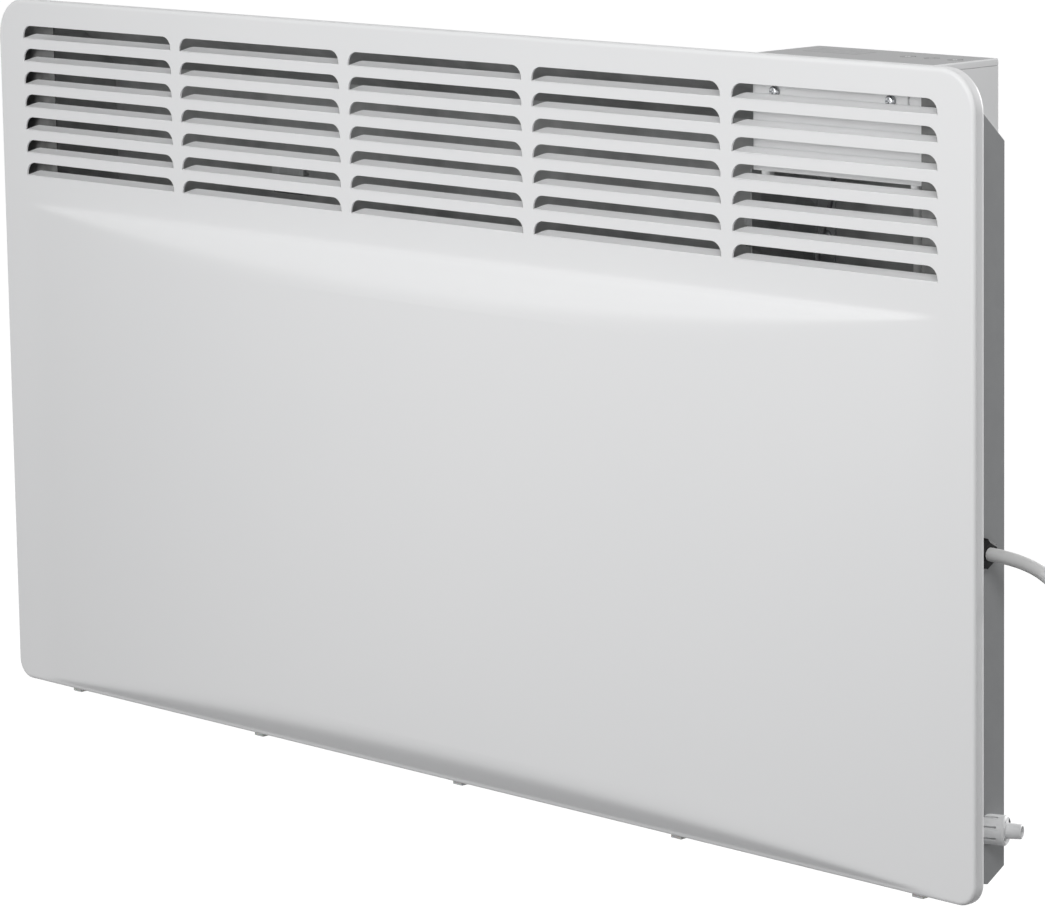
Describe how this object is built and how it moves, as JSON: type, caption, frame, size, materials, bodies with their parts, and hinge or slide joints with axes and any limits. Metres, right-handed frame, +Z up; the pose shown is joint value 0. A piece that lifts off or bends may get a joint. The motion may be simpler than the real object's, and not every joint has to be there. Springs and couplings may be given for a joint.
{
  "type": "wall panel convector heater",
  "caption": "Slim wall-hung electric panel convector with a louvred bowed front, a top-corner control box, a mains lead with plug and a wall bracket.",
  "frame": {"origin": "on the wall plane, at the centre of the wall bracket's four screw holes", "axes": "+X to the right seen from the front, +Y towards the wall, +Z up"},
  "size_m": [0.854, 0.091, 0.4485],
  "materials": {
    "white_enamel": "fine powder coat, semi-gloss white",
    "grey_enamel": "powder coat, matt mid grey",
    "pale_plastic": "moulded light grey plastic",
    "clip_plastic": "moulded off-white nylon",
    "dark_inlay": "satin mid-grey membrane",
    "window": "smoked clear plastic",
    "button_plastic": "satin dark grey caps",
    "zinc": "zinc plated steel",
    "fin_aluminium": "extruded aluminium",
    "steatite": "cream ceramic",
    "board": "green circuit board",
    "dark_parts": "black moulded parts",
    "grommet_black": "black nylon",
    "cord_grey": "pale grey cable sheath",
    "wire_sleeve": "woven sleeve over silicone wire",
    "pin_metal": "nickel plated brass",
    "bracket_zinc": "galvanised sheet",
    "bead_grey": "grey potted sensor tip",
    "rubber_pad": "black rubber"
  },
  "bodies": {
    "heater": {"front_panel": "white_enamel", "panel_clips": "clip_plastic", "rear_casing": "grey_enamel", "flange_rivets": "zinc", "control_box": "pale_plastic", "box_cover": "pale_plastic", "box_screws": "zinc", "box_cap": "pale_plastic", "control_inlay": "dark_inlay", "display_window": "window", "key_board": "board", "key_switches": "dark_parts", "display_module": "dark_parts", "power_board": "board", "relay": "dark_parts", "transformer": "dark_parts", "capacitor": "dark_parts", "terminal_block": "clip_plastic", "partition": "bracket_zinc", "partition_screws": "zinc", "heat_shield": "bracket_zinc", "heating_element": "fin_aluminium", "element_pins": "zinc", "element_bushes": "steatite", "element_holder": "bracket_zinc", "thermal_cutout": "dark_parts", "cable_grommet": "grommet_black", "inner_lead": "cord_grey", "lead_clamp": "clip_plastic", "element_wire": "wire_sleeve", "sensor_collar": "pale_plastic", "sensor_stem": "pale_plastic", "sensor_bead": "bead_grey", "wall_bracket": "bracket_zinc", "wall_pads": "rubber_pad", "mains_lead": "cord_grey", "lead_coil": "cord_grey", "plug_tail": "cord_grey", "coil_tie": "dark_parts", "plug_body": "cord_grey", "plug_pins": "pin_metal"},
    "plus_button": {"plus_button": "button_plastic"},
    "minus_button": {"minus_button": "button_plastic"},
    "power_button": {"power_button": "button_plastic"},
    "left_latch": {"left_latch": "clip_plastic"},
    "right_latch": {"right_latch": "clip_plastic"}
  },
  "joints": [
    {"name": "plus_button_press", "type": "slide", "parent": "heater", "child": "plus_button", "axis": [0, 0, -1], "range_m": [0, 0.0006], "stiffness_N_per_m": 900, "springref_m": -0.0006},
    {"name": "minus_button_press", "type": "slide", "parent": "heater", "child": "minus_button", "axis": [0, 0, -1], "range_m": [0, 0.0006], "stiffness_N_per_m": 900, "springref_m": -0.0006},
    {"name": "power_button_press", "type": "slide", "parent": "heater", "child": "power_button", "axis": [0, 0, -1], "range_m": [0, 0.0006], "stiffness_N_per_m": 900, "springref_m": -0.0006},
    {"name": "left_latch_slide", "type": "slide", "parent": "heater", "child": "left_latch", "axis": [0, 0, -1], "range_m": [0, 0.006], "stiffness_N_per_m": 700, "springref_m": -0.004},
    {"name": "right_latch_slide", "type": "slide", "parent": "heater", "child": "right_latch", "axis": [0, 0, -1], "range_m": [0, 0.006], "stiffness_N_per_m": 700, "springref_m": -0.004}
  ]
}
